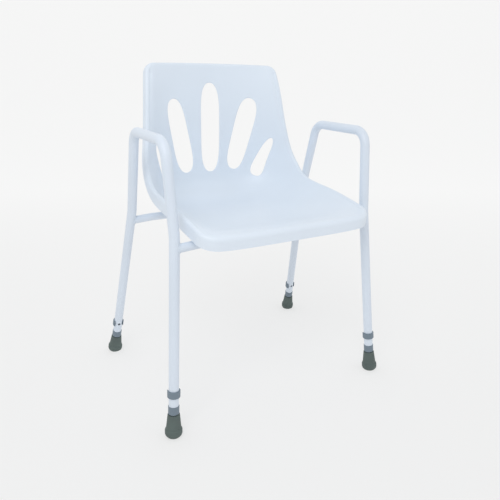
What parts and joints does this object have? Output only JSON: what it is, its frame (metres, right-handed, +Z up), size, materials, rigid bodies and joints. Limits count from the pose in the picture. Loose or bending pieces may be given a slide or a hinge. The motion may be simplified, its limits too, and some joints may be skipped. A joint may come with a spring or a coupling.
{
  "type": "shower chair",
  "caption": "Height-adjustable shower chair: moulded one-piece bucket seat and slotted back on a splayed, bent-tube frame with arms, telescopic legs, pull-off clips and rubber ferrules.",
  "frame": {"origin": "on the floor, at the middle of the chair's overall width and depth", "axes": "+Z up, -Y towards the front of the seat, +X towards the right-hand arm as seen from the front; X = 0 is the plane of symmetry"},
  "size_m": [0.6388, 0.505, 0.7886],
  "materials": {
    "shell_plastic": "semi-matte moulded polypropylene, cool white, fine moulded grain",
    "frame_paint": "smooth satin powder coat on steel tube, cool white",
    "extension_paint": "smooth satin powder coat, cool white",
    "washer_steel": "zinc-plated steel disc",
    "ferrule_rubber": "dark grey-green moulded rubber, matt",
    "fitting_plastic": "slate-grey moulded polypropylene, satin",
    "guide_plastic": "dark grey moulded polyethylene",
    "seat_fixing_plastic": "pale grey moulded polypropylene",
    "screw_steel": "stainless steel, fine turned finish"
  },
  "bodies": {
    "frame": {"front_cross_rail": "frame_paint", "leg_bush_front_left": "fitting_plastic", "leg_bush_front_right": "fitting_plastic", "leg_bush_rear_left": "fitting_plastic", "leg_bush_rear_right": "fitting_plastic", "rail_pad_front_left": "seat_fixing_plastic", "rail_pad_front_right": "seat_fixing_plastic", "rail_pad_rear_left": "seat_fixing_plastic", "rail_pad_rear_right": "seat_fixing_plastic", "rail_strap_front_left": "seat_fixing_plastic", "rail_strap_front_right": "seat_fixing_plastic", "rail_strap_rear_left": "seat_fixing_plastic", "rail_strap_rear_right": "seat_fixing_plastic", "rear_cross_rail": "frame_paint", "seat_shell": "shell_plastic", "side_frame_left": "frame_paint", "side_frame_right": "frame_paint", "strap_screws": "screw_steel"},
    "leg_front_left": {"leg_extension_front_left": "extension_paint", "extension_guide_front_left": "guide_plastic", "ferrule_front_left": "ferrule_rubber", "ferrule_washer_front_left": "washer_steel"},
    "clip_front_left": {"height_clip_front_left": "fitting_plastic"},
    "leg_front_right": {"leg_extension_front_right": "extension_paint", "extension_guide_front_right": "guide_plastic", "ferrule_front_right": "ferrule_rubber", "ferrule_washer_front_right": "washer_steel"},
    "clip_front_right": {"height_clip_front_right": "fitting_plastic"},
    "leg_rear_left": {"leg_extension_rear_left": "extension_paint", "extension_guide_rear_left": "guide_plastic", "ferrule_rear_left": "ferrule_rubber", "ferrule_washer_rear_left": "washer_steel"},
    "clip_rear_left": {"height_clip_rear_left": "fitting_plastic"},
    "leg_rear_right": {"leg_extension_rear_right": "extension_paint", "extension_guide_rear_right": "guide_plastic", "ferrule_rear_right": "ferrule_rubber", "ferrule_washer_rear_right": "washer_steel"},
    "clip_rear_right": {"height_clip_rear_right": "fitting_plastic"}
  },
  "joints": [
    {"name": "leg_slide_front_left", "type": "slide", "parent": "frame", "child": "leg_front_left", "axis": [-0.0807, -0.0674, -0.9945], "range_m": [0, 0.1]},
    {"name": "clip_pull_front_left", "type": "slide", "parent": "frame", "child": "clip_front_left", "axis": [0.0054, -0.9977, 0.0671], "range_m": [0, 0.03]},
    {"name": "leg_slide_front_right", "type": "slide", "parent": "frame", "child": "leg_front_right", "axis": [0.0807, -0.0674, -0.9945], "range_m": [0, 0.1]},
    {"name": "clip_pull_front_right", "type": "slide", "parent": "frame", "child": "clip_front_right", "axis": [-0.0054, -0.9977, 0.0671], "range_m": [0, 0.03]},
    {"name": "leg_slide_rear_left", "type": "slide", "parent": "frame", "child": "leg_rear_left", "axis": [-0.103, 0.2864, -0.9526], "range_m": [0, 0.1]},
    {"name": "clip_pull_rear_left", "type": "slide", "parent": "frame", "child": "clip_rear_left", "axis": [0.0308, 0.9581, 0.2847], "range_m": [0, 0.03]},
    {"name": "leg_slide_rear_right", "type": "slide", "parent": "frame", "child": "leg_rear_right", "axis": [0.103, 0.2864, -0.9526], "range_m": [0, 0.1]},
    {"name": "clip_pull_rear_right", "type": "slide", "parent": "frame", "child": "clip_rear_right", "axis": [-0.0308, 0.9581, 0.2847], "range_m": [0, 0.03]}
  ]
}
